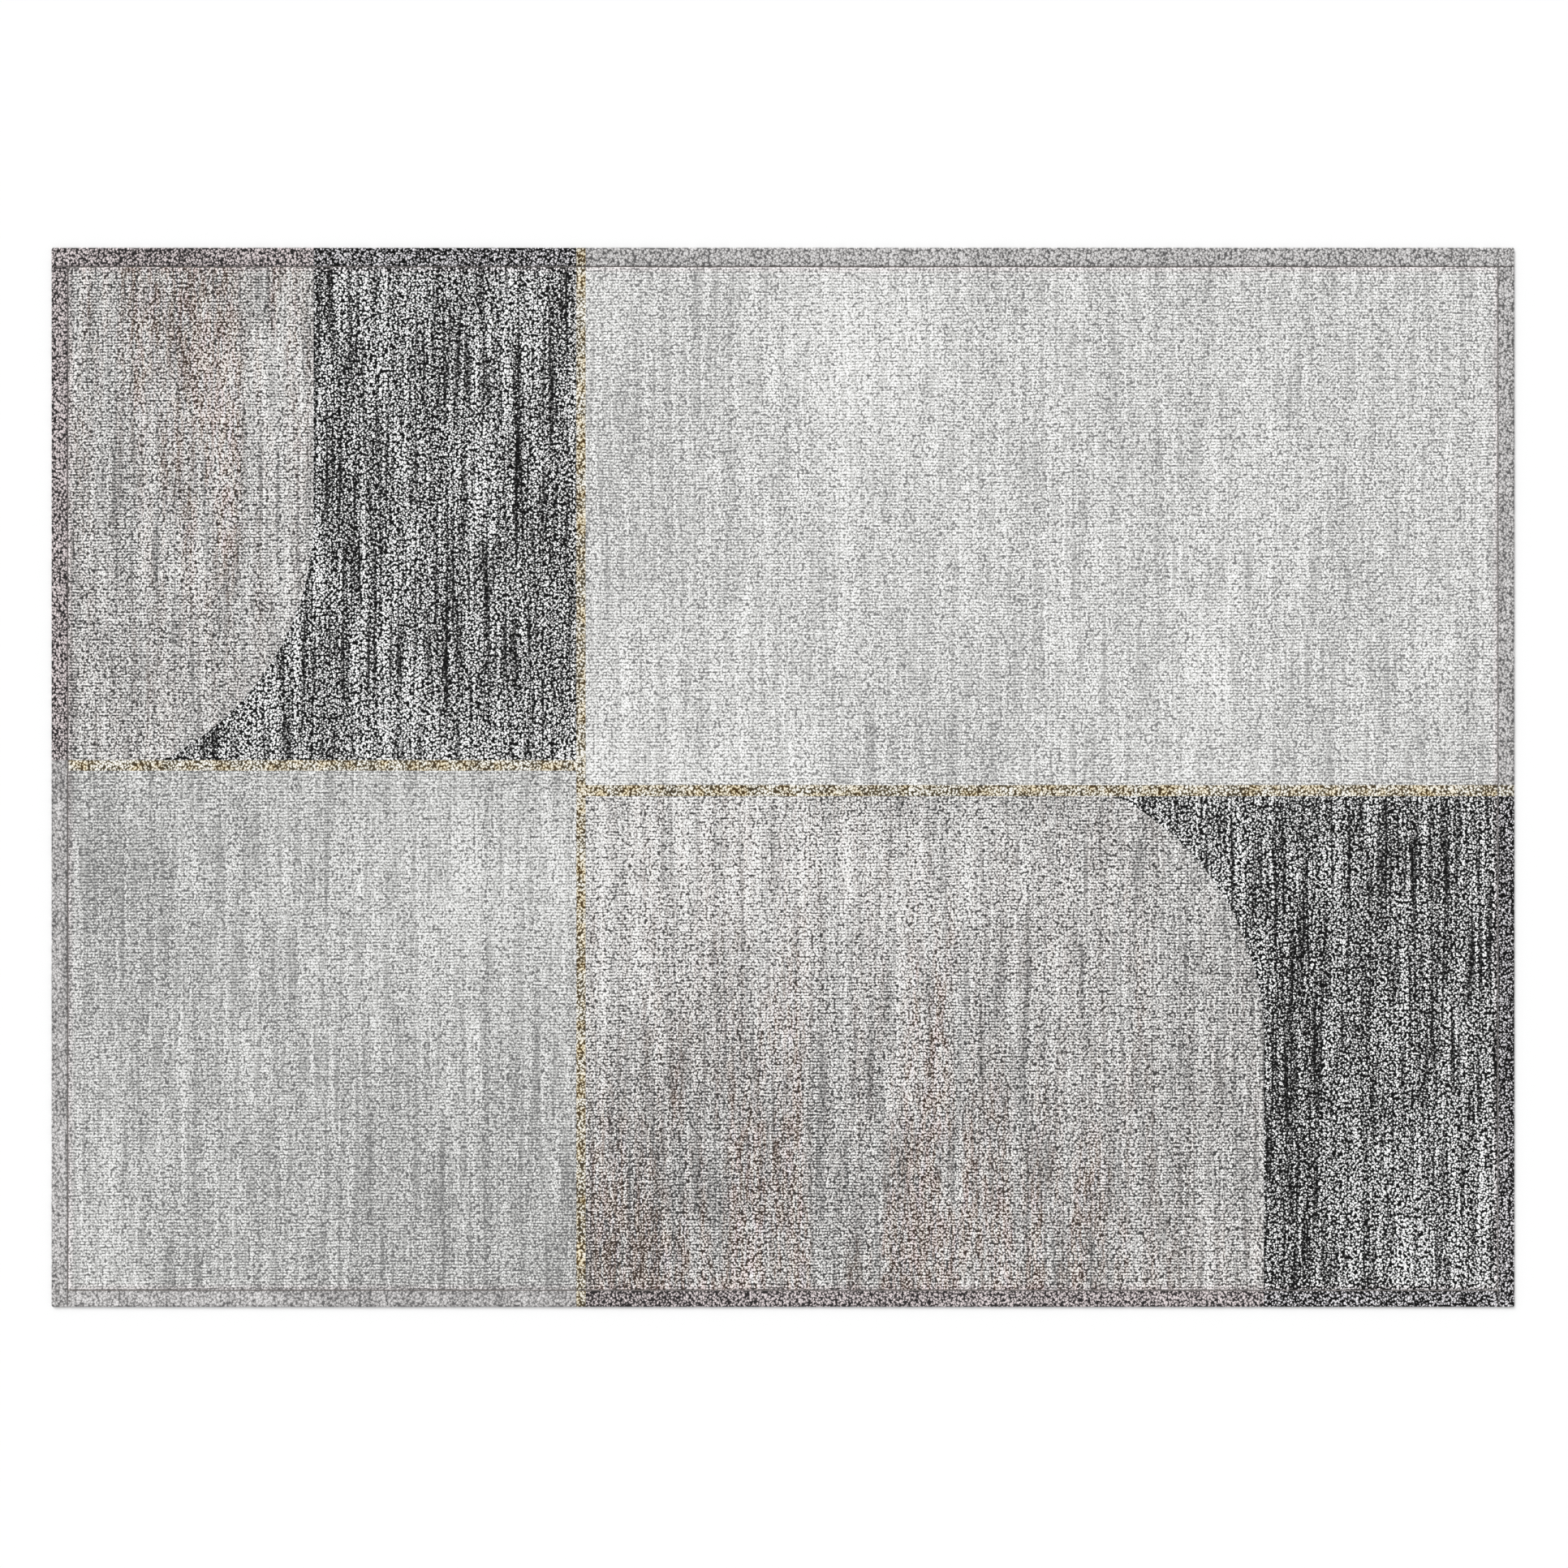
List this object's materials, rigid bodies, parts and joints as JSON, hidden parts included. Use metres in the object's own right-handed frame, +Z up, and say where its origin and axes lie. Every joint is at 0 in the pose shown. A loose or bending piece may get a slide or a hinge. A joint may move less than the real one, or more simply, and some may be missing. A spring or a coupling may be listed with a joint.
{
  "type": "area rug",
  "caption": "Flat rectangular area rug with colour fields parted by thin gold stripes and two soft curves, stitched hems on all sides and a non-slip backing.",
  "frame": {"origin": "on the floor under the middle of the rug, at its underside", "axes": "+X along the long side, towards the charcoal corner; +Y across the width, towards the hem that runs over both side hems; +Z up, out of the face"},
  "size_m": [2.21, 1.6, 0.006],
  "materials": {
    "pale_yarn": "matte",
    "grey_yarn": "matte",
    "taupe_yarn": "matte",
    "charcoal_yarn": "matte",
    "gold_yarn": "matte",
    "hem_cloth": "matte",
    "seam_thread": "satin",
    "ground_cloth": "matte",
    "bond_coat": "satin",
    "non_slip_backing": "matte",
    "care_label": "satin"
  },
  "bodies": {
    "root": {"field_pale_north_east": "pale_yarn", "field_grey_south_west": "grey_yarn", "field_taupe_north_west": "taupe_yarn", "field_taupe_south": "taupe_yarn", "field_charcoal_north": "charcoal_yarn", "field_charcoal_south_east": "charcoal_yarn", "gold_stripe_long": "gold_yarn", "gold_stripe_west": "gold_yarn", "gold_stripe_east": "gold_yarn", "ground_cloth": "ground_cloth", "bond_coat": "bond_coat", "non_slip_backing": "non_slip_backing", "hem_north": "hem_cloth", "hem_south": "hem_cloth", "hem_west": "hem_cloth", "hem_east": "hem_cloth", "care_label": "care_label", "needle_thread_north": "seam_thread", "bobbin_thread_north": "seam_thread", "needle_thread_south": "seam_thread", "bobbin_thread_south": "seam_thread", "needle_thread_west": "seam_thread", "bobbin_thread_west": "seam_thread", "needle_thread_east": "seam_thread", "bobbin_thread_east": "seam_thread"}
  },
  "joints": []
}
